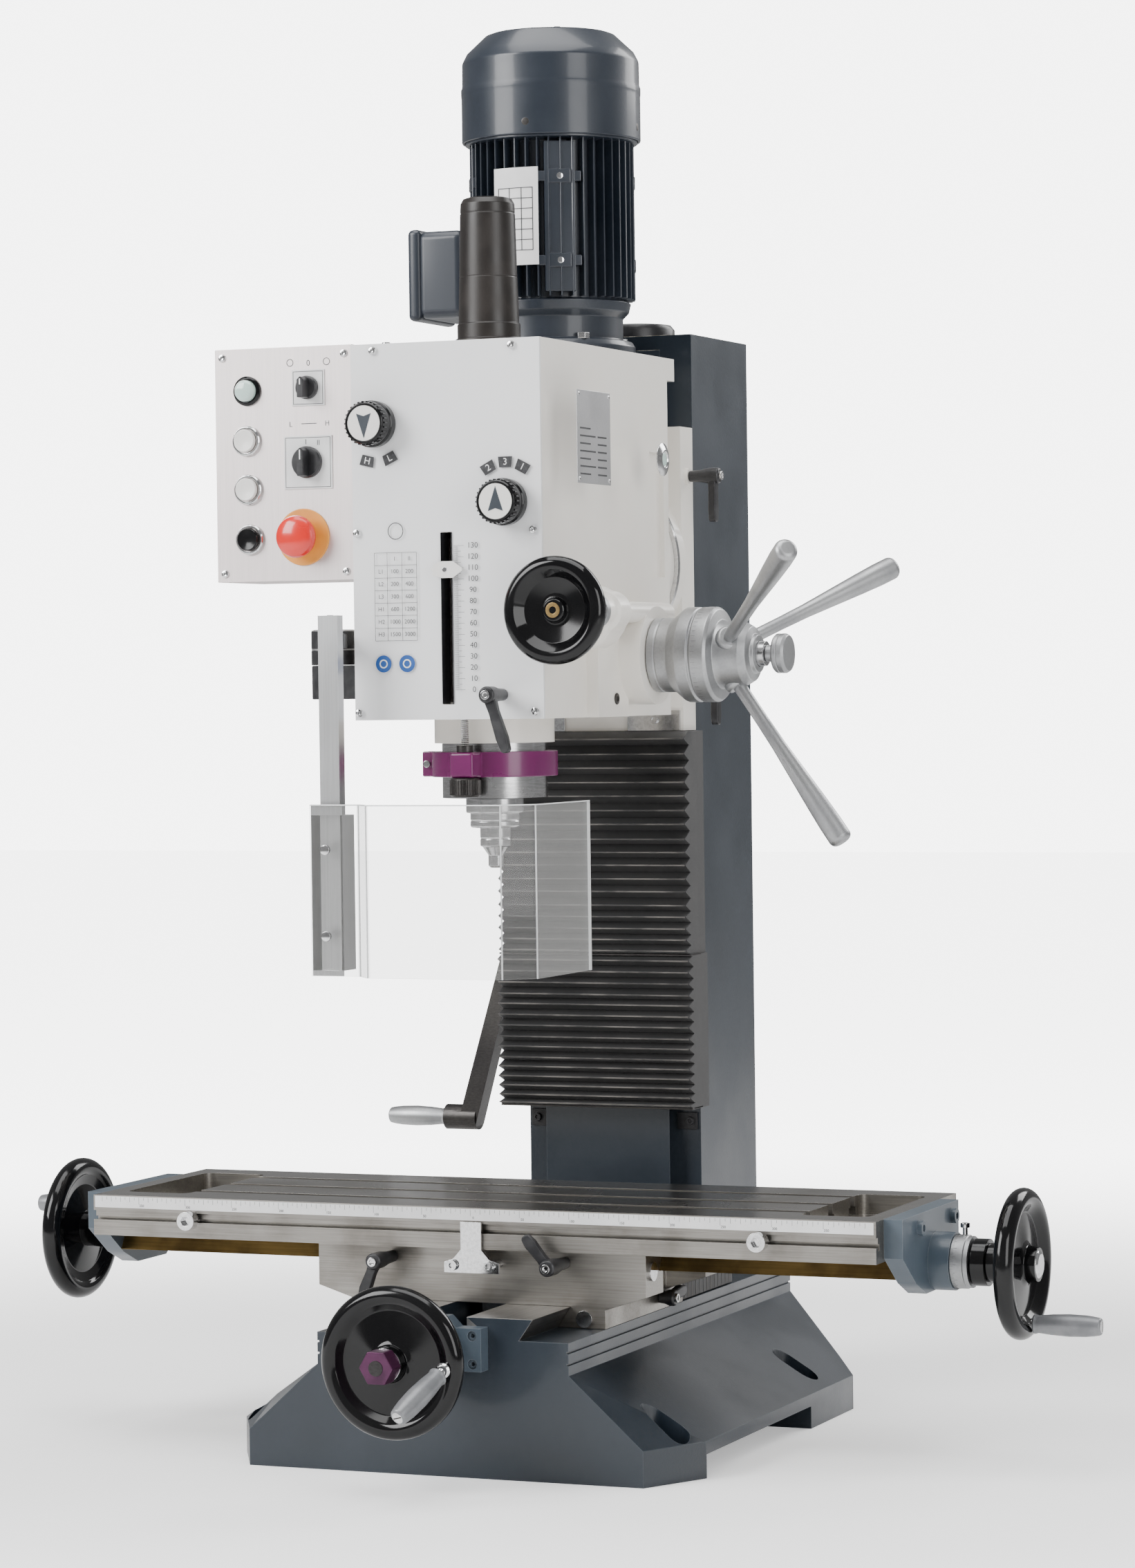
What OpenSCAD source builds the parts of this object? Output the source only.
// Bench vertical milling machine: dovetail column, cross-slide table and tilting gear head.
// +X is the table's long way to the right, +Y is from the table back to the column, +Z is up.
// The origin is on the underside of the base, on the centre plane, below the column's front face.

/* [Base] */
// Width of the foot across both flanks
base_w = 470; // [440:5:560]
// Reach of the base in front of the column face
base_front = 436; // [420:2:500]
// Reach of the base behind the column face
base_rear = 165; // [160:1:200]
// Height of the vertical edge of the foot
foot_h = 34; // [28:1:40]
// Height where the sloping flank meets the upper band
flank_top_z = 99; // [80:1:105]
// Width of the upper band that carries the ways
band_w = 254; // [244:2:300]
// Height of the ledge beside the cross dovetail
ledge_z = 129; // [120:1:150]
// Width of the cross dovetail over its top
cross_way_w = 184; // [150:1:190]
// Height of the cross dovetail
cross_way_h = 20; // [16:0.5:24]
// Wall of the base casting
base_wall = 16; // [12:1:20]
// Side to side spacing of the anchor holes
anchor_dx = 420; // [400:5:430]
// Front to back spacing of the anchor holes
anchor_dy = 355; // [300:5:360]
// Diameter of each anchor hole
anchor_d = 14; // [10:1:16]

/* [Column] */
// Width of the column
column_w = 186; // [170:2:220]
// Depth of the column
column_d = 160; // [140:2:160]
// Height of the column above the base ledge
column_h = 950; // [930:5:1150]
// Wall of the column casting
column_wall = 14; // [10:1:18]
// Width of the column dovetail over its front
column_way_w = 134; // [120:1:150]
// How far the column dovetail stands out
column_way_t = 20; // [16:1:24]

/* [Table] */
// Length of the table
table_l = 800; // [660:10:960]
// Width of the table
table_w = 240; // [230:5:250]
// Thickness of the table slab
table_h = 39; // [34:1:44]
// Width of the dovetail rib under the table
rib_w = 130; // [110:2:150]
// Height of the dovetail rib
rib_h = 20.6; // [18:0.2:22]
// Mouth width of each T-slot
tslot_w = 12; // [10:1:14]
// Spacing of the three T-slots
tslot_pitch = 63; // [50:1:64]

/* [Saddle] */
// Length of the saddle along the table
saddle_l = 336; // [300:2:400]
// Reach of the saddle cheeks past the table centre line
saddle_reach = 100; // [96:1:104]
// Thickness of the saddle floor between the two dovetails
saddle_floor = 32; // [26:1:40]
// Radius of the machined boss of each clamp lever
lever_hub_r = 8; // [6:0.5:9]

/* [Feed screws] */
// Diameter of the feed screws
screw_d = 20; // [16:1:22]
// Diameter of the three handwheels' rims
wheel_d = 140; // [110:2:150]
// Length of the revolving handwheel grips
grip_l = 65; // [50:1:75]
// Distance of the table centre line in front of the column face
table_y = 245; // [240:1:250]

/* [Head] */
// Width of the head casting
head_w = 192; // [180:2:200]
// Height of the underside of the head casting
head_z0 = 699; // [690:1:710]
// Height of the joint between the head casting and its cover
head_z1 = 1001; // [996:1:1010]
// Height of the top of the head cover
head_z2 = 1050; // [1046:1:1060]
// Distance from the column face to the front of the head casting
head_front = 396; // [392:1:420]
// Wall of the head casting
head_wall = 12; // [9:1:14]
// Height of the tilt axis
tilt_z = 848; // [840:1:856]
// Radius of the tilt scale ring
tilt_r = 100; // [95:1:104]

/* [Spindle] */
// Distance from the column face to the spindle axis
spindle_out = 293; // [285:1:300]
// Diameter of the quill
quill_d = 100; // [90:1:102]
// Travel of the quill
quill_travel = 110; // [90:1:115]
// Bore of the tool collet
collet_d = 12; // [6:1:16]

/* [Motor] */
// Radius over the cooling fins
motor_r = 81; // [76:1:86]
// Length of the finned motor body
motor_l = 171; // [150:1:220]

/* [Guard] */
// Width of the front pane of the chip guard
guard_w = 170; // [150:2:180]
// Height of the guard panes
guard_h = 159; // [120:1:165]

/* [Fits] */
// Radial clearance of a running shaft
run_fit = 0.05; // [0.02:0.01:0.08]
// Clearance between sliding way faces
way_fit = 0.15; // [0.1:0.05:0.3]
// Clearance between neighbouring moving bodies
gap = 0.3; // [0.3:0.1:1]

/* [Hidden] */
$fn = 64;
eps = 0.01;

// Base and column levels
band_x = band_w/2;
foot_x = base_w/2;
foot_front_chamfer = [36, 66];
foot_rear_chamfer = [55, 118];
way_top_z = ledge_z + cross_way_h;
way_root_x = cross_way_w/2 - 14;
screw_r = screw_d/2;
screw_y_z = 121;
channel_x = 26;
skirt_lift = 22;
pad_front_y = -base_front + 68;
pad_rear_y = -80;
rib_under_y = 20;
anchor_front_y = -385;
column_top_z = ledge_z + column_h;
column_x = column_w/2;
column_way_x = column_way_w/2;
column_root_x = column_way_x - 10;
column_way_z = [180, column_top_z - 16];
nut_slot_x = 24;
z_screw_y = 40;
crank_z = 500;
miter_r = 20;
miter_in = 11;
miter_play = 0.6;
shelf_z = [526, 540];
bolt_x = column_x - 33;
bolt_inset = 38;
column_bolt_r = 6;

// Table and saddle levels
table_z = [241 - table_h, 241];
table_front = -table_y - table_w/2;
table_rear = -table_y + table_w/2;
rib_z = table_z[0] - rib_h;
rib_bottom_y = rib_w/2;
rib_root_y = rib_bottom_y - 12;
saddle_top_z = table_z[0] - way_fit;
saddle_front = -table_y - saddle_reach;
saddle_rear = -table_y + saddle_reach;
saddle_x = saddle_l/2;
saddle_low_z = way_top_z - 2;
pointer_y = table_front - 0.8 - gap;
x_screw_z = 192;
wheel_r = wheel_d/2;
grip_pin_r = 4;
grip_offset = wheel_r - 15;
wheel_t = 20;
x_bracket_t = 18;
x_boss_l = 20;
dial_l = 17;
x_end = table_l/2 + x_bracket_t;
x_wheel_right = x_end + x_boss_l + dial_l + 36;
x_wheel_left = x_end + x_boss_l + 32;
grip_right_a = 270;
grip_left_a = 18;
y_bracket_t = 16;
y_wheel = base_front + 98;
y_grip_a = -3;

// Slide and head levels
slide_z = [683, 985];
slide_front = 34;
slide_x = column_x;
tilt_boss_r = tilt_r - 2;
tilt_pin_r = 30;
head_x = head_w/2;
head_back = 76;
lid_back = 56;
lock_upper_z = 936;
lock_lower_z = 734;
lock_y = -16;

// Spindle and gear train
quill_r = quill_d/2;
quill_z = [624, 900];
guide_r = quill_r + 7;
guide_top_z = 870;
web_z = [915, 927];
gear_z = [930, 950];
gear_m = 2.5;
pinion_n = 20;
counter_n = 28;
spindle_n = 52;
counter_out = spindle_out - gear_m*(spindle_n + counter_n)/2;
motor_out = counter_out - gear_m*(counter_n + pinion_n)/2;
sleeve_r = 20;
spline_r = 14;
counter_shaft_r = 8;
rotor_shaft_r = 12;
sleeve_z = [905, 1046];
rack_m = 4;
feed_n = 17;
feed_r = rack_m*feed_n/2;
rack_half_w = 9;
rack_z = [735, 898];
capstan_z = 757;
rack_pitch_y = -spindle_out + quill_r + 12;
capstan_y = rack_pitch_y + feed_r;
capstan_shaft_r = 12;
rod_y_out = 363;
rod_r = 4;
pointer_z = 838;
slot_half_w = 5.5;
slot_z = [713, 873];
ring_z = [644, 668];
ring_r = quill_r + 10;
sleeve_x = head_x + 35;
worm_x = head_x + 24;
worm_z = capstan_z + 41;
feed_wheel_r = 50;

// Front panel, control box and guard
plate_t = 3;
face_y = -head_front - plate_t;
range_knob_at = [-71, 975];
speed_knob_at = [61, 899];
quill_lock_at = [55, 721.5];
knob_r = 22;
knob_stem_r = 7;
box_x = [-239, -head_x];
box_y = [-396, -300];
box_z = [831, 1051];
button_r = 11;
button_at = [[-206, 964], [-205, 918], [-204, 871]];
lamp_at = [-205, 1011];
stop_at = [-148, 872];
small_at = [-141, 1012];
large_at = [-142, 942];
guard_pivot = [-126, -380];
guard_z = [719, 784];
guard_rod = [-101, -440];
carrier_z = [468, 612];
pane_z0 = 463;
pane_t = 3;
pane_front_y = -478;

// ---- shared shapes ----
module block(x, y, z)
  translate([x[0], y[0], z[0]]) cube([x[1] - x[0], y[1] - y[0], z[1] - z[0]]);

module rod_x(r, x, y, z)
  translate([x[0], y, z]) rotate([0, 90, 0]) cylinder(r = r, h = x[1] - x[0]);

module rod_y(r, x, y, z)
  translate([x, y[1], z]) rotate([90, 0, 0]) cylinder(r = r, h = y[1] - y[0]);

module rod_z(r, x, y, z)
  translate([x, y, z[0]]) cylinder(r = r, h = z[1] - z[0]);

// Socket head screw whose head stands up along +Z
module cap_screw(r, h)
  difference() {
    cylinder(r = r, h = h);
    translate([0, 0, h/2]) cylinder(r = r*0.55, h = h, $fn = 6);
  }

// Profile in Y-Z drawn as [y, z] points and run along X
module along_x(x, points)
  translate([x[0], 0, 0]) rotate([90, 0, 90]) linear_extrude(x[1] - x[0]) polygon(points);

// Profile in X-Z drawn as [x, z] points and run along Y
module along_y(y, points)
  translate([0, y[1], 0]) rotate([90, 0, 0]) linear_extrude(y[1] - y[0]) polygon(points);

// Spur gear with slim teeth, so that meshed pairs keep a working backlash
function tooth(i, n, rr, ra, pitch) = let (a = 360*i/n, w = pitch*0.21, t = pitch*0.12) [
  [rr*cos(a - w), rr*sin(a - w)], [ra*cos(a - t), ra*sin(a - t)],
  [ra*cos(a + t), ra*sin(a + t)], [rr*cos(a + w), rr*sin(a + w)]];

module gear(n, m, h) {
  r = n*m/2;
  linear_extrude(h)
    polygon([for (i = [0 : n - 1], p = tooth(i, n, r - m*1.05, r + m*0.7, 360/n)) p]);
}

// Handwheel: dished web, rounded rim and long hub, rear face at z = 0 and hub forward
module handwheel(bore_r, hub_back) {
  rim = wheel_r;
  rotate_extrude() polygon([
    [bore_r, -hub_back], [18, -hub_back], [18, 6], [rim - 13, 6], [rim - 13, 3], [rim - 10, 0],
    [rim - 4, 0], [rim, 4], [rim, wheel_t - 4], [rim - 4, wheel_t], [rim - 10, wheel_t],
    [rim - 13, wheel_t - 3], [rim - 13, 12], [18, 12], [18, 26], [bore_r, 26]]);
}

// Stud that a revolving grip turns on, standing up from z = 0
module grip_stud()
  cylinder(r = grip_pin_r, h = grip_l - 8);

// Revolving grip with its blind bore, standing up from z = 0
module grip() {
  bore = grip_pin_r + run_fit;
  top = grip_l;
  rotate_extrude() polygon([
    [bore, 0], [8.5, 0], [10, 4], [10.5, 18], [9.5, top - 12], [8.5, top - 3], [6, top],
    [0, top], [0, top - 7], [bore, top - 7]]);
}

// Small clamp lever with hub along +Z and arm to the given angle, in its own frame
module clamp_lever(arm_a, arm_l, hub_h) {
  cylinder(r = lever_hub_r, h = hub_h);
  translate([0, 0, hub_h]) cap_screw(lever_hub_r*0.55, 2.5);
  rotate([0, 0, arm_a]) translate([0, -4, hub_h - 12]) cube([arm_l, 8, 9]);
}

// ---- base and column ----
foot_plan = [
  [foot_x - foot_front_chamfer[0], -base_front], [foot_x, -base_front + foot_front_chamfer[1]],
  [foot_x, base_rear - foot_rear_chamfer[1]], [foot_x - foot_rear_chamfer[0], base_rear],
  [-foot_x + foot_rear_chamfer[0], base_rear], [-foot_x, base_rear - foot_rear_chamfer[1]],
  [-foot_x, -base_front + foot_front_chamfer[1]], [-foot_x + foot_front_chamfer[0], -base_front]];

cross_way = [
  [-way_root_x, ledge_z - eps], [way_root_x, ledge_z - eps],
  [cross_way_w/2, way_top_z], [-cross_way_w/2, way_top_z]];

module base_cavity() {
  low_x = foot_x - 45;
  top_x = band_x - base_wall;
  y0 = -base_front + base_wall;
  y1 = base_rear - base_wall;
  difference() {
    union() {
      hull() {
        block([-low_x, low_x], [y0, y1], [-1, 1]);
        block([-top_x, top_x], [y0, y1], [flank_top_z - 16, flank_top_z - 14]);
      }
      block([-top_x, top_x], [y0, y1], [flank_top_z - 16, ledge_z - base_wall]);
    }
    block([-foot_x, foot_x], [-rib_under_y, rib_under_y], [-2, ledge_z]);
    block([-foot_x, foot_x], [-base_front*0.56 - 8, -base_front*0.56 + 8], [-2, ledge_z]);
    block([-channel_x - 8, channel_x + 8], [y0 - 1, y1 + 1], [90, ledge_z]);
  }
}

module anchor_slot(x, y) {
  rod_z(anchor_d/2, x, y, [-1, foot_h*2]);
  inner = x - sign(x)*18;
  rod_z(anchor_d, x, y, [foot_h - 12, ledge_z]);
  rod_z(anchor_d, inner, y, [foot_h - 12, ledge_z]);
  block([min(x, inner), max(x, inner)], [y - anchor_d, y + anchor_d], [foot_h - 12, ledge_z]);
}

module base_casting() color([0.16, 0.19, 0.22]) difference() {
  union() {
    hull() {
      linear_extrude(foot_h) polygon(foot_plan);
      block([-band_x, band_x], [-base_front, base_rear], [flank_top_z - 1, flank_top_z]);
    }
    block([-band_x, band_x], [-base_front, base_rear], [flank_top_z - eps, ledge_z]);
    along_y([-base_front, -6], cross_way);
  }
  base_cavity();
  for (x = [-1, 1], y = [anchor_front_y, anchor_front_y + anchor_dy]) anchor_slot(x*anchor_dx/2, y);
  for (side = [-1, 1], z = [108, 119])
    block([min(side*band_x, side*(band_x - 2)), max(side*band_x, side*(band_x - 2)) + eps],
      [-base_front - 1, base_rear + 1], [z, z + 2]);
  block([-foot_x - 1, foot_x + 1], [pad_front_y, pad_rear_y], [-1, skirt_lift]);
  block([-channel_x, channel_x], [-base_front - 1, -60], [98, way_top_z + 1]);
  for (x = [-1, 1], z = [screw_y_z - 13, screw_y_z + 13])
    rod_y(4.5, x*38, [-base_front - 1, -base_front + 10], z);
  for (x = [-1, 1], y = [bolt_inset, column_d - bolt_inset])
    rod_z(column_bolt_r + run_fit, x*bolt_x, y, [ledge_z - 15, ledge_z + 1]);
}

module column_casting() color([0.16, 0.19, 0.22]) difference() {
  inner_x = column_x - column_wall;
  union() {
    difference() {
      block([-column_x, column_x], [0, column_d], [ledge_z, column_top_z]);
      block([-inner_x, inner_x], [column_wall, column_d - column_wall],
        [ledge_z + column_wall, column_top_z - 12]);
    }
    along_y_column_way();
    block([-inner_x - 1, inner_x + 1], [column_wall - 1, z_screw_y + 30], shelf_z);
    rod_x(18, [-column_x - 10, -inner_x + 2], z_screw_y, crank_z);
  }
  block([-nut_slot_x, nut_slot_x], [-column_way_t - 1, column_wall + 1], [shelf_z[1], column_top_z - 24]);
  rod_z(screw_r + run_fit, 0, z_screw_y, [shelf_z[0] - 1, column_top_z - 20]);
  rod_x(8 + run_fit, [-column_x - 11, -inner_x + 3], z_screw_y, crank_z);
  rod_z(34, 0, column_d/2, [column_top_z - 13, column_top_z + 1]);
  for (x = [-1, 1], y = [bolt_inset, column_d - bolt_inset])
    rod_z(column_bolt_r + run_fit, x*bolt_x, y, [ledge_z - 1, ledge_z + column_wall + 1]);
}

module along_y_column_way()
  translate([0, 0, column_way_z[0]]) linear_extrude(column_way_z[1] - column_way_z[0])
    polygon([[-column_root_x, eps], [column_root_x, eps],
      [column_way_x, -column_way_t], [-column_way_x, -column_way_t]]);

module column_fittings() color([0.06, 0.06, 0.07]) {
  translate([0, column_d/2, column_top_z]) rotate_extrude() polygon([
    [0, 0], [42, 0], [42, 12], [38, 17], [0, 17]]);
  difference() {
    block([-90, 90], [-3, 0], [282, 299]);
    block([-column_root_x - 12, column_root_x + 12], [-4, 1], [281, 300]);
  }
  for (x = [-83, 83]) translate([x, -3, 290.5]) rotate([90, 0, 0]) cap_screw(4, 3);
  for (x = [-1, 1], y = [bolt_inset, column_d - bolt_inset]) {
    rod_z(column_bolt_r, x*bolt_x, y, [ledge_z - 14, ledge_z + column_wall]);
    translate([x*bolt_x, y, ledge_z + column_wall]) cylinder(r = 10, h = 7, $fn = 6);
  }
}

module y_screw_bracket() color([0.18, 0.21, 0.24]) {
  difference() {
    union() {
      translate([0, -base_front, screw_y_z]) rotate([90, 22.5, 0]) cylinder(r = 30/cos(22.5), h = y_bracket_t, $fn = 8);
      block([-47, 47], [-base_front - y_bracket_t, -base_front], [screw_y_z - 20, screw_y_z + 20]);
      rod_y(27, 0, [-base_front - y_bracket_t - 14, -base_front - y_bracket_t], screw_y_z);
    }
    rod_y(screw_r + run_fit, 0, [-base_front - 40, -base_front + 1], screw_y_z);
    for (x = [-1, 1], z = [screw_y_z - 13, screw_y_z + 13])
      rod_y(4.5, x*38, [-base_front - y_bracket_t - 1, -base_front - 6], z);
  }
  for (x = [-1, 1], z = [screw_y_z - 13, screw_y_z + 13])
    translate([x*38, -base_front - 6, z]) rotate([90, 0, 0]) {
      cap_screw(4.2, 8);
      translate([0, 0, -14]) cylinder(r = 4.2, h = 14 + eps);
    }
}

module y_way_cover() color([0.05, 0.05, 0.05]) difference() {
  block([-band_x + 1, band_x - 1], [saddle_rear + gap, -gap], [ledge_z + gap, rib_z - 2]);
  along_y([saddle_rear, 0], [
    [-way_root_x - gap, ledge_z], [way_root_x + gap, ledge_z],
    [cross_way_w/2 + gap, way_top_z + gap], [-cross_way_w/2 - gap, way_top_z + gap]]);
}

module z_bellows() color([0.05, 0.05, 0.06]) {
  for (s = [[306, 459.7, 104], [460, slide_z[0] - gap, 102]]) difference() {
    block([-s[2], s[2]], [-58, -gap], [s[0], s[1]]);
    block([-column_way_x - gap, column_way_x + gap], [-column_way_t - gap, 1], [s[0] - 1, s[1] + 1]);
  }
}

// ---- saddle ----
module saddle() color([0.45, 0.44, 0.42]) difference() {
  cheek = [[-saddle_x, saddle_top_z], [saddle_x, saddle_top_z], [saddle_x, 160],
    [band_x, saddle_low_z], [band_x, ledge_z + way_fit], [-band_x, ledge_z + way_fit],
    [-band_x, saddle_low_z], [-saddle_x, 160]];
  union() {
    along_y([saddle_front, saddle_front + 44], cheek);
    along_y([saddle_rear - 44, saddle_rear], cheek);
    block([-band_x, band_x], [saddle_front + 40, saddle_rear - 40], [ledge_z + way_fit, saddle_top_z]);
  }
  way_x = cross_way_w/2 + way_fit;
  along_y([saddle_front - 1, saddle_rear + 1], [
    [-way_root_x - way_fit, ledge_z], [way_root_x + way_fit, ledge_z],
    [way_x, way_top_z + way_fit], [-way_x, way_top_z + way_fit]]);
  along_x([-saddle_x - 1, saddle_x + 1], [
    [-table_y - rib_bottom_y - way_fit, rib_z - way_fit], [-table_y + rib_bottom_y + way_fit, rib_z - way_fit],
    [-table_y + rib_root_y + way_fit, table_z[0] + 1], [-table_y - rib_root_y - way_fit, table_z[0] + 1]]);
  block([-26, 26], [-table_y - 14, -table_y + 14], [rib_z - 10, rib_z]);
  for (x = [-90, 87]) rod_y(5 + run_fit, x, [saddle_front - 1, saddle_front + 20], 190);
  rod_x(5 + run_fit, [band_x - 22, band_x + 1], -205, 141);
}

module saddle_fittings() color([0.55, 0.5, 0.4]) {
  // nut of the table screw, let into the saddle floor
  difference() {
    block([-26, 26], [-table_y - 14, -table_y + 14], [rib_z - 10, 206]);
    rod_x(screw_r + run_fit, [-30, 30], -table_y, x_screw_z);
  }
  // nut of the cross screw, bolted under the saddle floor
  difference() {
    block([-18, 18], [-300, -262], [105, way_top_z + way_fit]);
    rod_y(screw_r + run_fit, 0, [-301, -261], screw_y_z);
  }
  // gib screws
  rod_x(9, [saddle_x, saddle_x + 2.5], saddle_front + 15, 183);
  rod_y(8, 106, [saddle_front - 2, saddle_front], 138);
  // zero pointer of the table scale with its two screws
  along_y([pointer_y - 3, pointer_y], [
    [-26, 180], [30, 180], [30, 190], [20, 193], [12, 202], [12, 228], [-9, 228], [-9, 202], [-17, 193], [-26, 190]]);
  for (x = [-17, 20]) translate([x, pointer_y - 3, 187]) rotate([90, 0, 0]) cap_screw(5, 4);
  for (x = [-17, 20]) rod_y(4, x, [pointer_y, saddle_front], 187);
}

module saddle_lever(x, z, arm_a)
  translate([x, saddle_front, z]) rotate([90, 0, 0]) {
    translate([0, 0, -18]) cylinder(r = 5, h = 18 + gap);
    translate([0, 0, gap]) clamp_lever(arm_a, 38, 46);
  }

module x_lock_left() color([0.08, 0.08, 0.08]) saddle_lever(-90, 190, 248);

module x_lock_right() color([0.08, 0.08, 0.08]) saddle_lever(87, 190, 130);

module y_lock() color([0.08, 0.08, 0.08]) translate([band_x, -205, 141]) rotate([0, 90, 0]) {
  translate([0, 0, -20]) cylinder(r = 5, h = 20 + gap);
  translate([0, 0, gap]) rotate([0, 0, 95]) clamp_lever(0, 40, 16);
}

// ---- table ----
module t_slot(y) {
  reach = table_l/2 - 55;
  block([-reach, reach], [y - tslot_w/2, y + tslot_w/2], [table_z[1] - 17, table_z[1] + 1]);
  block([-reach, reach], [y - 10, y + 10], [table_z[1] - 18, table_z[1] - 10]);
}

module table_pocket(side) {
  x0 = table_l/2 - 85;
  x1 = table_l/2 - 18;
  r = 10;
  for (x = [x0 + r, x1 - r], y = [-table_y - 77, -table_y + 77])
    rod_z(r, side*x, y, [table_z[1] - 19, table_z[1] + 1]);
  block([min(side*x0, side*x1), max(side*x0, side*x1)], [-table_y - 77, -table_y + 77],
    [table_z[1] - 19, table_z[1] + 1]);
  block([min(side*(x0 + r), side*(x1 - r)), max(side*(x0 + r), side*(x1 - r))],
    [-table_y - 77 - r, -table_y + 77 + r], [table_z[1] - 19, table_z[1] + 1]);
}

module table() color([0.5, 0.5, 0.52]) difference() {
  union() {
    block([-table_l/2, table_l/2], [table_front, table_rear], table_z);
    along_x([-table_l/2, table_l/2], [
      [-table_y - rib_bottom_y, rib_z], [-table_y + rib_bottom_y, rib_z],
      [-table_y + rib_root_y, table_z[0] + eps], [-table_y - rib_root_y, table_z[0] + eps]]);
  }
  for (i = [-1, 0, 1]) t_slot(-table_y + i*tslot_pitch);
  for (side = [-1, 1]) table_pocket(side);
  block([-table_l/2 - 1, table_l/2 + 1], [-table_y - 16, -table_y + 16], [rib_z - 1, 212]);
  block([-table_l/2 - 1, table_l/2 + 1], [table_front - 1, table_front + 5], [217, 226]);
  block([-table_l/2 - 1, table_l/2 + 1], [table_front + 5 - eps, table_front + 9], [214, 220]);
  for (side = [-1, 1], y = [-50, 50]) rod_x(4, [side*table_l/2 - 16, side*table_l/2 + 16], -table_y + y, 228);
}

module table_fittings() color([0.8, 0.8, 0.78]) {
  // engraved scale strip on the front edge
  block([-table_l/2 + 2, table_l/2 - 2], [table_front - 0.8, table_front], [229, 240]);
  // travel stops clamped in the front groove
  for (x = [-295, 288]) {
    translate([x, table_front, 219.5]) rotate([90, 0, 0]) cap_screw(9, 11);
    block([x - 7, x + 7], [table_front + 0.5, table_front + 8], [217.3, 219.7]);
    rod_y(3.8, x, [table_front, table_front + 4], 221.5);
  }
}

module x_bracket(side) {
  x0 = side*table_l/2;
  x1 = side*x_end;
  x2 = side*(x_end + x_boss_l);
  difference() {
    union() {
      block([min(x0, x1), max(x0, x1)], [-table_y - 98, -table_y + 70], [205, table_z[1]]);
      along_x([min(x0, x1), max(x0, x1)], [
        [-table_y - 98, 205 + eps], [-table_y - 60, 178], [-table_y - 30, 165],
        [-table_y + 30, 165], [-table_y + 60, 190], [-table_y + 70, 205 + eps]]);
      rod_x(27, [min(x1, x2), max(x1, x2)], -table_y, x_screw_z);
    }
    rod_x(screw_r + run_fit, [min(x0, x2) - 1, max(x0, x2) + 1], -table_y, x_screw_z);
    for (y = [-50, 50]) rod_x(4, [min(x0, x1) - 1, max(x0, x1) + 1], -table_y + y, 228);
  }
  for (y = [-50, 50]) {
    rod_x(3.8, [min(x0 - side*12, x1), max(x0 - side*12, x1)], -table_y + y, 228);
    translate([x1, -table_y + y, 228]) rotate([0, side*90, 0]) cap_screw(7, 5);
  }
}

module x_brackets() color([0.25, 0.29, 0.33]) for (side = [-1, 1]) x_bracket(side);

module x_screw() color([0.6, 0.6, 0.6]) rod_x(screw_r, [-x_wheel_left - 8, x_wheel_right + 22], -table_y, x_screw_z);

module x_handwheels() color([0.04, 0.04, 0.04]) {
  translate([x_wheel_right, -table_y, x_screw_z]) rotate([0, 90, 0]) {
    handwheel(screw_r, 21);
    translate([0, 0, -36]) difference() {
      cylinder(r = 22, h = 15);
      translate([0, 0, -1]) cylinder(r = screw_r, h = 17);
    }
  }
  translate([x_wheel_right + wheel_t, -table_y + grip_offset*cos(grip_right_a), x_screw_z + grip_offset*sin(grip_right_a)])
    rotate([0, 90, 0]) grip_stud();
  translate([-x_wheel_left, -table_y, x_screw_z]) rotate([0, -90, 0]) handwheel(screw_r, 32 - gap);
  translate([-x_wheel_left - wheel_t, -table_y + grip_offset*cos(grip_left_a), x_screw_z + grip_offset*sin(grip_left_a)])
    rotate([0, -90, 0]) grip_stud();
}

module x_dial() color([0.7, 0.7, 0.72]) {
  x0 = x_end + x_boss_l + gap;
  difference() {
    rod_x(25, [x0, x0 + dial_l - 2*gap], -table_y, x_screw_z);
    rod_x(screw_r + run_fit, [x0 - 1, x0 + dial_l + 1], -table_y, x_screw_z);
  }
  rod_z(4.5, x0 + dial_l/2, -table_y, [x_screw_z + 25, x_screw_z + 36]);
}

module x_grip_right() color([0.55, 0.56, 0.58])
  translate([x_wheel_right + wheel_t + gap, -table_y + grip_offset*cos(grip_right_a), x_screw_z + grip_offset*sin(grip_right_a)])
    rotate([0, 90, 0]) grip();

module x_grip_left() color([0.55, 0.56, 0.58])
  translate([-x_wheel_left - wheel_t - gap, -table_y + grip_offset*cos(grip_left_a), x_screw_z + grip_offset*sin(grip_left_a)])
    rotate([0, -90, 0]) grip();

// ---- cross feed ----
module y_grip_frame()
  translate([grip_offset*cos(y_grip_a), -y_wheel - wheel_t, screw_y_z + grip_offset*sin(y_grip_a)])
    rotate([90, 0, 0]) rotate([28, -16, 0]) children();

module y_screw() color([0.6, 0.6, 0.6]) {
  rod_y(screw_r, 0, [-y_wheel - 24, -70], screw_y_z);
}

module y_handwheel() color([0.04, 0.04, 0.04]) {
  translate([0, -y_wheel, screw_y_z]) rotate([90, 0, 0]) {
    handwheel(screw_r, 24);
    translate([0, 0, 26]) cylinder(r = 17, h = 20, $fn = 6);
    translate([0, 0, -42 + gap]) difference() {
      cylinder(r = 21, h = 18);
      translate([0, 0, -1]) cylinder(r = screw_r, h = 20);
    }
  }
  // pivot block of the grip, with the stud leaning inwards
  translate([grip_offset*cos(y_grip_a), -y_wheel - wheel_t + 6, screw_y_z + grip_offset*sin(y_grip_a)])
    rotate([90, 0, 0]) cylinder(r = 7, h = 10);
  y_grip_frame() translate([0, 0, 2]) cylinder(r = grip_pin_r, h = grip_l - 2);
}

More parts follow.
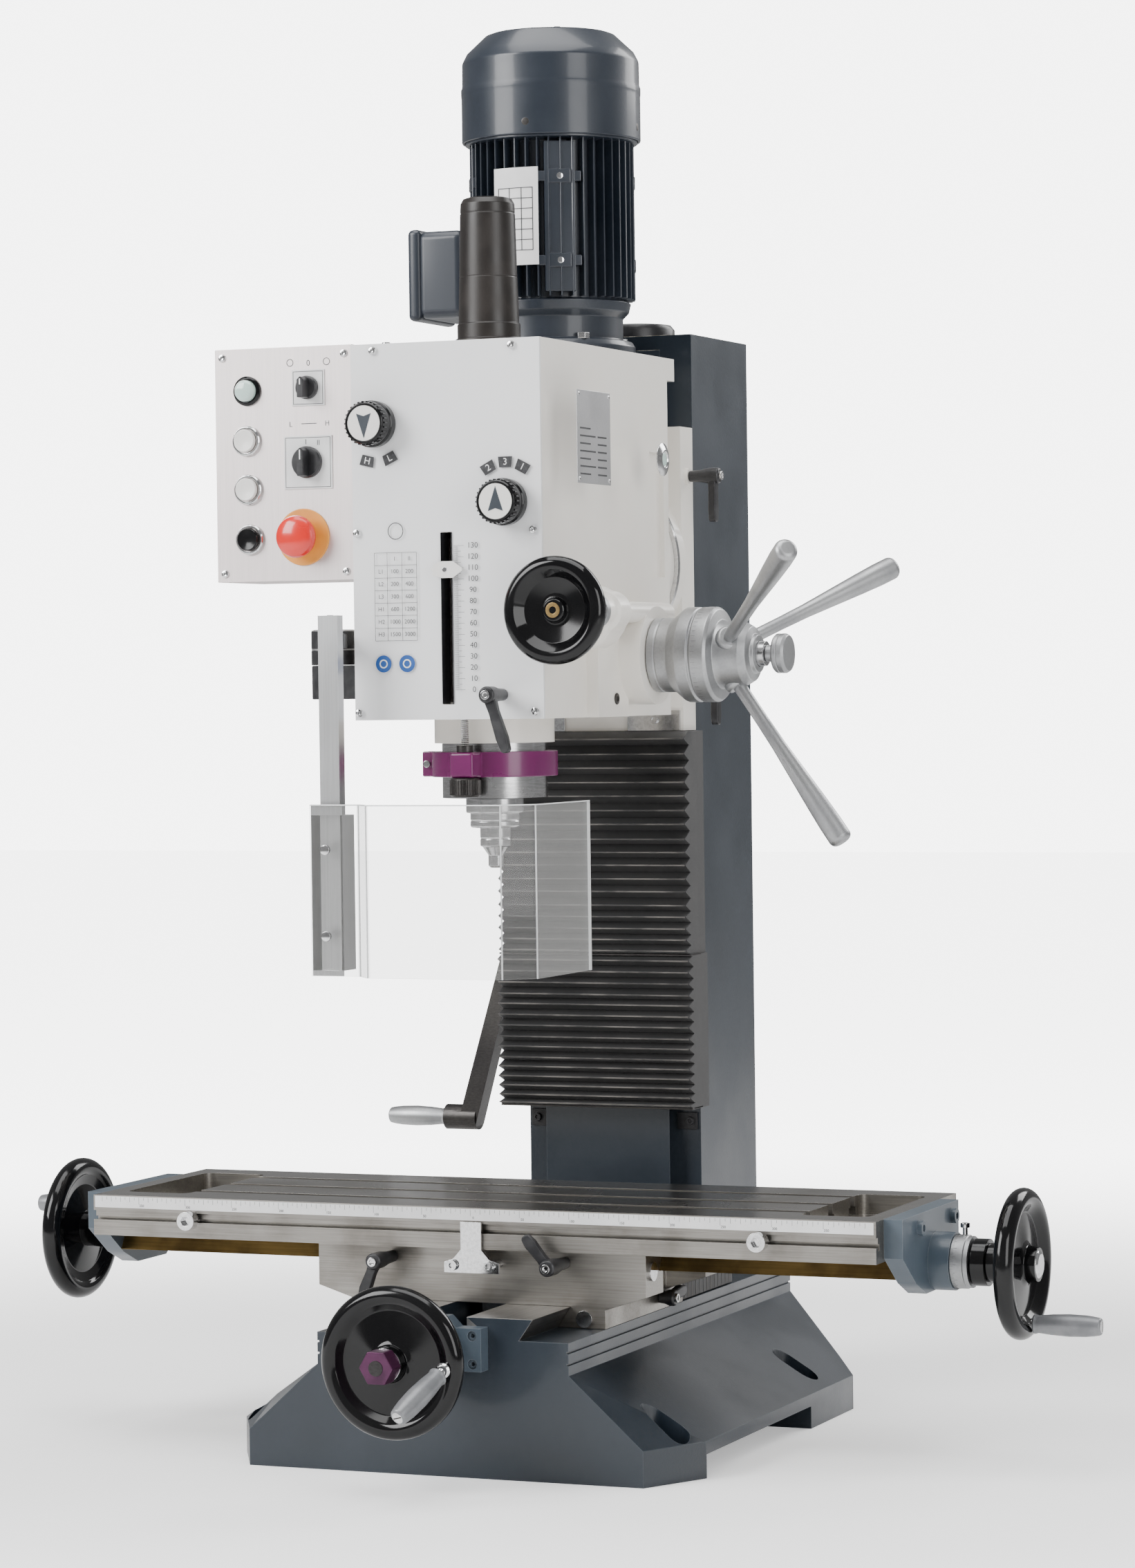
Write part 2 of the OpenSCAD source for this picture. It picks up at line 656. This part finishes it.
module y_dial() color([0.7, 0.7, 0.72]) {
  y0 = base_front + y_bracket_t + 14 + gap;
  difference() {
    rod_y(28, 0, [-y0 - 25, -y0], screw_y_z);
    rod_y(screw_r + run_fit, 0, [-y0 - 26, -y0 + 1], screw_y_z);
  }
  rod_z(4.5, 0, -y0 - 12, [screw_y_z + 28, screw_y_z + 38]);
}

module y_grip() color([0.5, 0.52, 0.54]) y_grip_frame() translate([0, 0, 8]) grip();

// ---- height feed ----
module z_screw() color([0.6, 0.6, 0.6]) {
  rod_z(screw_r, 0, z_screw_y, [crank_z + miter_in, column_top_z - 32]);
  translate([0, z_screw_y, crank_z + miter_in])
    cylinder(r1 = miter_in - miter_play, r2 = miter_r - miter_play, h = miter_r - miter_in);
}

// The arm leans outwards from its hub down to the grip
crank_hub_x = [-column_x - 35, -column_x - 10 - gap];
crank_foot_x = [-column_x - 90, -column_x - 74];
crank_drop = 216;
crank_arm = [[crank_hub_x[0] + 2, crank_z + 6], [crank_hub_x[0] + 18, crank_z + 6],
  [crank_hub_x[0] + 18, crank_z - 14], [crank_foot_x[1], crank_z - crank_drop - 8],
  [crank_foot_x[0], crank_z - crank_drop - 8], [crank_foot_x[0], crank_z - crank_drop + 8],
  [crank_hub_x[0] + 2, crank_z - 14]];
crank_grip_z = crank_z - crank_drop;
crank_grip_x = crank_foot_x[0] - 20;
crank_arm_w = 22;

module z_crank() color([0.2, 0.2, 0.21]) {
  rod_x(8, [crank_hub_x[0] + 2, -miter_r], z_screw_y, crank_z);
  translate([-miter_r, z_screw_y, crank_z]) rotate([0, 90, 0])
    cylinder(r1 = miter_r - miter_play, r2 = miter_in - miter_play, h = miter_r - miter_in);
  rod_x(15, crank_hub_x, z_screw_y, crank_z);
  along_y([z_screw_y - crank_arm_w/2, z_screw_y + crank_arm_w/2], crank_arm);
  rod_x(13, [crank_grip_x, crank_foot_x[1]], z_screw_y, crank_grip_z);
  rod_x(grip_pin_r, [crank_grip_x - grip_l + 8, crank_grip_x], z_screw_y, crank_grip_z);
}

module z_crank_grip() color([0.6, 0.6, 0.6])
  translate([crank_grip_x - gap, z_screw_y, crank_grip_z]) rotate([0, -90, 0]) grip();

module z_slide() color([0.9, 0.89, 0.85]) difference() {
  union() {
    block([-slide_x, slide_x], [-slide_front, -way_fit], slide_z);
    rod_y(tilt_boss_r, 0, [-lid_back, -slide_front + eps], tilt_z);
    for (z = [lock_upper_z, lock_lower_z]) rod_x(8, [slide_x - eps, slide_x + 3], lock_y, z);
  }
  translate([0, 0, slide_z[0] - 1]) linear_extrude(slide_z[1] - slide_z[0] + 2)
    polygon([[-column_root_x - way_fit, eps], [column_root_x + way_fit, eps],
      [column_way_x + way_fit, -column_way_t - way_fit], [-column_way_x - way_fit, -column_way_t - way_fit]]);
  rod_y(tilt_pin_r + run_fit, 0, [-lid_back - 1, -column_way_t - 5], tilt_z);
  for (z = [lock_upper_z, lock_lower_z]) rod_x(5 + run_fit, [slide_x - 14, slide_x + 4], lock_y, z);
}

module z_slide_fittings() color([0.75, 0.75, 0.75]) {
  // tilt scale ring
  difference() {
    rod_y(tilt_r, 0, [-lid_back - 6, -lid_back], tilt_z);
    rod_y(tilt_r - 14, 0, [-lid_back - 7, -lid_back + 1], tilt_z);
  }
  // nut of the height screw on its arm through the column slot
  difference() {
    block([-18, 18], [-column_way_t - way_fit, z_screw_y + 16], [tilt_z - 22, tilt_z + 22]);
    rod_z(screw_r + run_fit, 0, z_screw_y, [tilt_z - 23, tilt_z + 23]);
  }
  // plate that holds the top of the bellows
  block([34, 90], [-slide_front - 3, -slide_front], [slide_z[0], slide_z[0] + 20]);
  block([-90, -34], [-slide_front - 3, -slide_front], [slide_z[0], slide_z[0] + 20]);
  for (x = [-63, 63]) translate([x, -slide_front - 3, slide_z[0] + 11]) rotate([90, 0, 0]) cap_screw(4, 3);
}

module slide_lever(z)
  translate([slide_x + 3, lock_y, z]) rotate([0, 90, 0]) {
    translate([0, 0, -15]) cylinder(r = 5, h = 15 + gap);
    translate([0, 0, gap]) clamp_lever(0, 46, 32);
  }

module z_lock_upper() color([0.08, 0.08, 0.08]) slide_lever(lock_upper_z);

module z_lock_lower() color([0.08, 0.08, 0.08]) slide_lever(lock_lower_z);

// ---- head ----
inner_x = head_x - head_wall;
inner_y = [-head_front + head_wall, -head_back - 14];

module head_casting() color([0.9, 0.89, 0.85]) difference() {
  union() {
    difference() {
      block([-head_x, head_x], [-head_front, -head_back], [head_z0, head_z1]);
      block([-inner_x, inner_x], inner_y, [head_z0 + 16, head_z1 + 1]);
    }
    block([-inner_x - 1, inner_x + 1], [inner_y[0] - 1, inner_y[1] + 1], web_z);
    rod_z(guide_r, 0, -spindle_out, [676, guide_top_z]);
    rod_y(tilt_boss_r - 2, 0, [-head_back - eps, -lid_back - 6 - gap], tilt_z);
    rod_y(tilt_pin_r, 0, [-head_back - 2, -lid_back + 16], tilt_z);
    rod_x(47, [inner_x, sleeve_x - 1], capstan_y, capstan_z);
    rod_y(10, worm_x, [-292, -150], worm_z);
    block([head_x - 2, worm_x], [-270, -165], [worm_z - 10, worm_z + 10]);
    block([head_x - eps, head_x + 12], [capstan_y - 98, capstan_y - 22], [head_z0, 774]);
  }
  rod_z(quill_r + run_fit, 0, -spindle_out, [675, guide_top_z + 1]);
  block([-rack_half_w - 1, rack_half_w + 1], [-spindle_out + quill_r - 2, -spindle_out + guide_r + 1],
    [675, guide_top_z + 1]);
  block([-rack_half_w - 1, rack_half_w + 1], [-spindle_out + quill_r - 2, rack_pitch_y + 6], [675, head_z0 + 17]);
  rod_x(capstan_shaft_r + run_fit, [-inner_x - 8, sleeve_x], capstan_y, capstan_z);
  rod_z(sleeve_r + run_fit, 0, -spindle_out, [web_z[0] - 1, web_z[1] + 1]);
  rod_z(counter_shaft_r + run_fit, 0, -counter_out, [web_z[0] - 1, web_z[1] + 1]);
  rod_z(rotor_shaft_r + run_fit, 0, -motor_out, [web_z[0] - 1, web_z[1] + 1]);
  rod_z(rod_r + 0.5, 0, -rod_y_out, [head_z0 - 1, head_z0 + 17]);
  block([-slot_half_w, slot_half_w], [-head_front - 1, inner_y[0] + 1], slot_z);
  for (p = [range_knob_at, speed_knob_at]) rod_y(knob_stem_r + 0.3, p[0], [-head_front - 1, inner_y[0] + 1], p[1]);
  rod_y(5 + run_fit, quill_lock_at[0], [-head_front - 1, inner_y[0] + 1], quill_lock_at[1]);
  rod_y(6 + run_fit, worm_x, [-293, -200], worm_z);
  block([head_x - 5, head_x + 1], [-126, -88], [834, 956]);
  for (x = [-78, 78], y = [-head_front + 7, -head_back - 7]) rod_z(3, x, y, [head_z1 - 20, head_z1 + 1]);
}

module head_cover() color([0.9, 0.89, 0.85]) difference() {
  union() {
    block([-head_x, head_x], [-head_front, -head_back], [head_z1, head_z2]);
    block([-head_x, head_x], [-head_back - eps, -lid_back], [head_z2 - 22, head_z2]);
  }
  block([-inner_x, inner_x], inner_y, [head_z1 - 1, head_z2 - 10]);
  rod_z(sleeve_r + run_fit, 0, -spindle_out, [head_z1, head_z2 + 1]);
  rod_z(counter_shaft_r + run_fit, 0, -counter_out, [head_z1, head_z2 - 5]);
  rod_z(40, 0, -motor_out, [head_z1, head_z2 + 1]);
  for (x = [-78, 78], y = [-head_front + 7, -head_back - 7]) rod_z(3.3, x, y, [head_z1 - 1, head_z2 + 1]);
}

module front_plate() color([0.86, 0.87, 0.87]) {
  holes_at = [[-72.5, 1043.5], [68.3, 1043.5], [-91, 874], [88, 873], [-91, 706], [87.6, 706]];
  difference() {
    block([-head_x + 0.2, head_x - 0.2], [face_y, -head_front], [head_z0, head_z2]);
    block([-slot_half_w, slot_half_w], [face_y - 1, -head_front + 1], slot_z);
    for (p = [range_knob_at, speed_knob_at]) rod_y(knob_stem_r + 0.3, p[0], [face_y - 1, -head_front + 1], p[1]);
    rod_y(5 + run_fit, quill_lock_at[0], [face_y - 1, -head_front + 1], quill_lock_at[1]);
  }
  for (p = holes_at) translate([p[0], face_y, p[1]]) rotate([90, 0, 0]) cap_screw(2.6, 1.8);
}

// ---- motor and drive ----
module motor() color([0.2, 0.21, 0.23]) {
  z0 = head_z2;
  body_z = [z0 + 47, z0 + 47 + motor_l];
  difference() {
    union() {
      rod_z(motor_r - 1, 0, -motor_out, [z0, z0 + 14]);
      rod_z(motor_r - 13, 0, -motor_out, [z0 + 14 - eps, body_z[0] + eps]);
      rod_z(motor_r - 6, 0, -motor_out, body_z);
      rod_z(fan_r - 3 - run_fit, 0, -motor_out, [body_z[1] - shield_t, body_z[1]]);
      for (a = [0 : 12 : 359]) translate([0, -motor_out, body_z[0]]) rotate([0, 0, a])
        translate([0, -1.6, 0]) cube([motor_r, 3.2, motor_l]);
    }
    rod_z(motor_r - 18, 0, -motor_out, [z0 + 30, body_z[1] - 12]);
    rod_z(rotor_shaft_r + run_fit, 0, -motor_out, [z0 - 1, body_z[1] + 1]);
  }
  for (a = [45 : 90 : 315]) translate([(motor_r - 9)*cos(a), -motor_out + (motor_r - 9)*sin(a), z0 + 14])
    cylinder(r = 6.5, h = 6, $fn = 6);
}

fan_r = 88;
shield_t = 10;

module motor_covers() color([0.18, 0.19, 0.21]) {
  z0 = head_z2 + 47 + motor_l - shield_t + 2;
  // fan cover
  translate([0, -motor_out, z0]) difference() {
    rotate_extrude() polygon([[0, 0], [fan_r, 0], [fan_r, 84], [63, 104], [55, 107], [0, 107]]);
    rotate_extrude() polygon([[0, -1], [fan_r - 3, -1], [fan_r - 3, 82], [61, 101], [0, 101]]);
    for (r = [14 : 10 : 54]) translate([0, 0, 98]) difference() {
      cylinder(r = r + 4, h = 20);
      translate([0, 0, -1]) cylinder(r = r, h = 22);
      for (a = [0 : 60 : 179]) rotate([0, 0, a]) translate([-fan_r, -3, -1]) cube([fan_r*2, 6, 22]);
    }
  }
  // terminal box
  difference() {
    block([-137, -motor_r - gap], [-motor_out - 45, -motor_out + 45], [1089, 1179]);
    block([-134, -motor_r - 5], [-motor_out - 42, -motor_out + 42], [1092, 1176]);
  }
}

module drawbar_cap() color([0.2, 0.15, 0.12]) translate([0, -spindle_out, head_z2]) difference() {
  rotate_extrude() polygon([[0, 0], [32, 0], [32, 9], [29.5, 9], [29, 22], [26, 138], [24, 142], [0, 142]]);
  translate([0, 0, -1]) cylinder(r = 22, h = 130);
}

module motor_rotor() color([0.5, 0.5, 0.52]) translate([0, -motor_out, 0]) {
  rod_z(rotor_shaft_r, 0, 0, [web_z[0], head_z2 + 47 + motor_l + 10]);
  rod_z(44, 0, 0, [head_z2 + 44, head_z2 + 17 + motor_l]);
  translate([0, 0, gear_z[0]]) gear(pinion_n, gear_m, gear_z[1] - gear_z[0]);
}

module countershaft() color([0.5, 0.5, 0.52]) translate([0, -counter_out, 0]) {
  rod_z(counter_shaft_r, 0, 0, [web_z[0], head_z2 - 6]);
  translate([0, 0, gear_z[0]]) rotate([0, 0, 90 + 180/counter_n]) gear(counter_n, gear_m, gear_z[1] - gear_z[0]);
}

module spindle_gear() color([0.5, 0.5, 0.52]) translate([0, -spindle_out, 0]) difference() {
  union() {
    rod_z(sleeve_r, 0, 0, sleeve_z);
    translate([0, 0, gear_z[0]]) gear(spindle_n, gear_m, gear_z[1] - gear_z[0]);
  }
  rod_z(spline_r + run_fit, 0, 0, [sleeve_z[0] - 1, sleeve_z[1] + 1]);
}

// ---- quill and spindle ----
rack_pitch = PI*rack_m;

module quill() color([0.75, 0.75, 0.74]) {
  translate([0, -spindle_out, 0]) {
    difference() {
      rod_z(quill_r, 0, 0, quill_z);
      rod_z(31, 0, 0, [quill_z[0] - 1, quill_z[1] + 1]);
    }
    for (z = [[quill_z[0], quill_z[0] + 22], [quill_z[1] - 18, quill_z[1]]]) difference() {
      rod_z(30.97, 0, 0, z);
      rod_z(17.5 + run_fit, 0, 0, [z[0] - 1, z[1] + 1]);
    }
  }
  // rack with slim teeth on the back of the quill
  root_y = rack_pitch_y - rack_m*0.9;
  block([-rack_half_w, rack_half_w], [-spindle_out + quill_r - 1, root_y], rack_z);
  for (k = [0 : 10]) along_x([-rack_half_w, rack_half_w], [
    [root_y - eps, capstan_z + (k + 0.5)*rack_pitch - rack_pitch*0.2],
    [rack_pitch_y + rack_m*0.7, capstan_z + (k + 0.5)*rack_pitch - rack_pitch*0.1],
    [rack_pitch_y + rack_m*0.7, capstan_z + (k + 0.5)*rack_pitch + rack_pitch*0.1],
    [root_y - eps, capstan_z + (k + 0.5)*rack_pitch + rack_pitch*0.2]]);
}

module spindle() color([0.7, 0.7, 0.7]) translate([0, -spindle_out, 0]) {
  difference() {
    rotate_extrude() polygon([
      [0, 557], [7.5, 557], [7.5, 569], [13, 577], [15, 577], [15, 595], [24, 595], [24, 609], [28, 609],
      [28, quill_z[0] - gap], [17.5, quill_z[0] - gap], [17.5, quill_z[1]], [spline_r, quill_z[1]],
      [spline_r, head_z2 + 6], [0, head_z2 + 6]]);
    rod_z(collet_d/2, 0, 0, [556, 605]);
  }
  // hexagon of the draw-bar
  translate([0, 0, head_z2 + 6 + gap]) cylinder(r = 9, h = 16, $fn = 6);
}

module quill_ring() color([0.5, 0.12, 0.35]) {
  translate([0, -spindle_out, 0]) difference() {
    union() {
      rod_z(ring_r, 0, 0, ring_z);
      block([-ring_r - 12, -ring_r + 14], [-9, 9], ring_z);
      block([-12, 12], [-rod_y_out + spindle_out - 10, -ring_r + 12], ring_z);
    }
    rod_z(quill_r + 0.02, 0, 0, [ring_z[0] - 1, ring_z[1] + 1]);
    block([-ring_r - 13, -quill_r + 2], [-1.5, 1.5], [ring_z[0] - 1, ring_z[1] + 1]);
    rod_z(rod_r + run_fit, 0, -rod_y_out + spindle_out, [ring_z[0] - 1, ring_z[1] + 1]);
  }
  // depth rod with its stop nuts and the pointer of the depth scale
  rod_z(rod_r, 0, -rod_y_out, [626, pointer_z + 4]);
  rod_z(15, 0, -rod_y_out, [626, ring_z[0]]);
  rod_z(8, 0, -rod_y_out, [ring_z[1], ring_z[1] + 7]);
  block([-4, 4], [face_y - 5, -rod_y_out + 3], [pointer_z - 3, pointer_z + 3]);
  block([-14, 18], [face_y - 6, face_y - 4], [pointer_z - 8, pointer_z + 8]);
}

// ---- quill feed ----
module capstan() color([0.62, 0.62, 0.62]) {
  rod_x(capstan_shaft_r, [-inner_x - 7, sleeve_x + 110], capstan_y, capstan_z);
  translate([-rack_half_w, capstan_y, capstan_z]) rotate([90, 0, 90])
    rotate([0, 0, 180/feed_n]) gear(feed_n, rack_m, 2*rack_half_w);
  translate([sleeve_x, capstan_y, capstan_z]) rotate([0, 90, 0]) rotate_extrude() polygon([
    [0, 0], [36, 0], [36, 20], [45.5, 32], [45.5, 63], [34, 67], [34, 96], [28, 98], [28, 103], [0, 103]]);
}

handle_a = [28, 148, 268];
handle_lean = 35;
handle_foot_x = sleeve_x + 82;
handle_l = 182;

module capstan_handles() color([0.1, 0.1, 0.1]) translate([handle_foot_x, capstan_y, capstan_z])
  for (a = handle_a) rotate([a, 0, 0]) translate([0, 34 - 4, 0]) rotate([-90, 0, -handle_lean])
    rotate_extrude() polygon([
      [0, 0], [6.5, 0], [6.5, 70], [8, 74], [11.5, handle_l - 40], [11.5, handle_l - 8], [7, handle_l],
      [0, handle_l]]);

module clutch_knob() color([0.15, 0.15, 0.15]) translate([sleeve_x + 110 + gap, capstan_y, capstan_z])
  rotate([0, 90, 0]) rotate_extrude() polygon([
    [0, 0], [8, 0], [8, 7], [19, 10], [19, 20], [16, 23], [0, 23]]);

module feed_wheel() color([0.05, 0.05, 0.05]) translate([worm_x, -419, worm_z]) rotate([90, 0, 0]) {
  rotate_extrude() polygon([
    [0, -12], [12, -12], [12, 4], [feed_wheel_r - 8, 6], [feed_wheel_r - 8, 2], [feed_wheel_r - 4, 0],
    [feed_wheel_r, 4], [feed_wheel_r, 14], [feed_wheel_r - 4, 18], [feed_wheel_r - 8, 14],
    [feed_wheel_r - 10, 10], [12, 9], [12, 14], [0, 14]]);
  translate([0, 0, -212]) cylinder(r = 6, h = 201);
}

// ---- front plate controls ----
module range_knob() color([0.08, 0.08, 0.08]) front_knob(range_knob_at);

module speed_knob() color([0.08, 0.08, 0.08]) front_knob(speed_knob_at);

module front_knob(p) translate([p[0], face_y - gap, p[1]]) rotate([90, 0, 0]) {
  translate([0, 0, -28]) cylinder(r = knob_stem_r, h = 28 + eps);
  rotate_extrude() polygon([[0, 0], [knob_r, 0], [knob_r, 8], [knob_r - 3, 22], [knob_r - 5, 24], [0, 24]]);
  translate([-4, -knob_r + 2, 23]) cube([8, 2*knob_r - 4, 7]);
}

module quill_lock() color([0.08, 0.08, 0.08])
  translate([quill_lock_at[0], face_y, quill_lock_at[1]]) rotate([90, 0, 0]) {
    translate([0, 0, -14]) cylinder(r = 5, h = 14 + gap);
    translate([0, 0, gap]) clamp_lever(-72, 56, 40);
  }

// ---- control box ----
module control_box() color([0.8, 0.77, 0.75]) difference() {
  block(box_x, box_y, box_z);
  block([box_x[0] + 2, box_x[1] - 2], [box_y[0] + 2, box_y[1] - 2], [box_z[0] + 2, box_z[1] - 2]);
  for (p = button_at) rod_y(8, p[0], [box_y[0] - 1, box_y[0] + 3], p[1]);
  for (p = [stop_at, small_at, large_at]) rod_y(8, p[0], [box_y[0] - 1, box_y[0] + 3], p[1]);
}

module ring_y(r0, r1, p, t)
  difference() {
    rod_y(r1, p[0], [box_y[0] - t, box_y[0]], p[1]);
    rod_y(r0, p[0], [box_y[0] - t - 1, box_y[0] + 1], p[1]);
  }

module panel_fittings() color([0.75, 0.75, 0.75]) {
  // pilot lamp
  translate([lamp_at[0], box_y[0], lamp_at[1]]) rotate([90, 0, 0]) rotate_extrude() polygon([
    [0, 0], [14, 0], [14, 3], [11, 4], [10, 9], [0, 12]]);
  for (p = button_at) ring_y(12.5, 14.5, p, 4);
  ring_y(8, 27, stop_at, 2);
  for (p = [[small_at, 17], [large_at, 25]]) difference() {
    block([p[0][0] - p[1], p[0][0] + p[1]], [box_y[0] - 1.2, box_y[0]], [p[0][1] - p[1], p[0][1] + p[1]]);
    rod_y(8.5, p[0][0], [box_y[0] - 2, box_y[0] + 1], p[0][1]);
  }
  for (x = [box_x[0] + 8, box_x[1] - 8], z = [box_z[0] + 8, box_z[1] - 8])
    translate([x, box_y[0], z]) rotate([90, 0, 0]) cap_screw(4, 2);
}

module push_button(p) translate([p[0], box_y[0], p[1]]) rotate([90, 0, 0]) {
  translate([0, 0, -20]) cylinder(r = 7.5, h = 20 + eps);
  cylinder(r = button_r, h = 8);
}

module button_upper() color([0.9, 0.9, 0.88]) translate([0, -4, 0]) push_button(button_at[0]);

module button_middle() color([0.9, 0.9, 0.88]) translate([0, -4, 0]) push_button(button_at[1]);

module button_lower() color([0.1, 0.1, 0.1]) translate([0, -4, 0]) push_button(button_at[2]);

module stop_button() color([0.75, 0.08, 0.06]) translate([stop_at[0], box_y[0], stop_at[1]]) rotate([90, 0, 0]) {
  translate([0, 0, -20]) cylinder(r = 7.5, h = 28);
  translate([0, 0, 8]) rotate_extrude() polygon([[0, 0], [12, 0], [20, 6], [20, 14], [15, 18], [0, 19]]);
}

module selector(p, r) translate([p[0], box_y[0] - 1.2 - gap, p[1]]) rotate([90, 0, 0]) {
  translate([0, 0, -22]) cylinder(r = 7.5, h = 22 + eps);
  cylinder(r = r, h = 6);
  translate([-3.5, -r*0.9, 5]) cube([7, r*1.8, 13]);
}

module selector_small() color([0.08, 0.08, 0.08]) selector(small_at, 11);

module selector_large() color([0.08, 0.08, 0.08]) selector(large_at, 15);

// ---- chip guard ----
module guard_hinge() color([0.08, 0.08, 0.08]) {
  block([guard_pivot[0] + 12, -head_x], [guard_pivot[1] - 14, guard_pivot[1] + 14], [guard_z[0], guard_z[0] + 32]);
  difference() {
    rod_z(21, guard_pivot[0], guard_pivot[1], [guard_z[0], guard_z[0] + 32]);
    rod_z(8 + run_fit, guard_pivot[0], guard_pivot[1], [guard_z[0] - 1, guard_z[0] + 33]);
  }
}

module guard_arm() color([0.6, 0.6, 0.62]) {
  rod_z(8, guard_pivot[0], guard_pivot[1], [guard_z[0], guard_z[1]]);
  rod_z(21, guard_pivot[0], guard_pivot[1], [guard_z[0] + 32 + gap, guard_z[1]]);
  hull() {
    rod_z(12, guard_pivot[0], guard_pivot[1], [guard_z[1] - 18, guard_z[1] - 4]);
    rod_z(8, guard_rod[0], guard_rod[1] + 4, [guard_z[1] - 18, guard_z[1] - 4]);
  }
  block([guard_rod[0] - 10, guard_rod[0] + 10], [guard_rod[1] - 6, guard_rod[1] + 6], [carrier_z[0], 797]);
}

module guard_screen() color([0.85, 0.9, 0.92, 0.4]) {
  x0 = guard_rod[0];
  y0 = guard_rod[1];
  z = [pane_z0, pane_z0 + guard_h];
  left = -guard_w/2;
  right = guard_w/2;
  difference() {
    block([x0 - 16, x0 + 16], [y0 - 14, y0 + 12], carrier_z);
    block([x0 - 10 - gap, x0 + 10 + gap], [y0 - 6 - gap, y0 + 6 + gap], [carrier_z[0] - 1, carrier_z[1] + 1]);
  }
  along_z_strip(z, [
    [x0 - 16, y0 - 14], [x0 - 16, y0 - 14 - pane_t], [left + 16, y0 - 14 - pane_t], [left + 34, pane_front_y],
    [right, pane_front_y], [right + 25, pane_front_y + 25], [right + 25, -325], [right + 25 - pane_t, -325],
    [right + 25 - pane_t, pane_front_y + 25 + pane_t], [right - pane_t, pane_front_y + pane_t],
    [left + 36, pane_front_y + pane_t], [left + 18, y0 - 14]]);
}

module along_z_strip(z, points)
  translate([0, 0, z[0]]) linear_extrude(z[1] - z[0]) polygon(points);

base_casting();
column_casting();
column_fittings();
y_screw_bracket();
y_way_cover();
z_bellows();
saddle();
saddle_fittings();
x_lock_left();
x_lock_right();
y_lock();
table();
table_fittings();
x_brackets();
x_screw();
x_handwheels();
x_dial();
x_grip_right();
x_grip_left();
y_screw();
y_handwheel();
y_dial();
y_grip();
z_screw();
z_crank();
z_crank_grip();
z_slide();
z_slide_fittings();
z_lock_upper();
z_lock_lower();
head_casting();
head_cover();
front_plate();
motor();
motor_covers();
drawbar_cap();
motor_rotor();
countershaft();
spindle_gear();
quill();
spindle();
quill_ring();
capstan();
capstan_handles();
clutch_knob();
feed_wheel();
range_knob();
speed_knob();
quill_lock();
control_box();
panel_fittings();
button_upper();
button_middle();
button_lower();
stop_button();
selector_small();
selector_large();
guard_hinge();
guard_arm();
guard_screen();
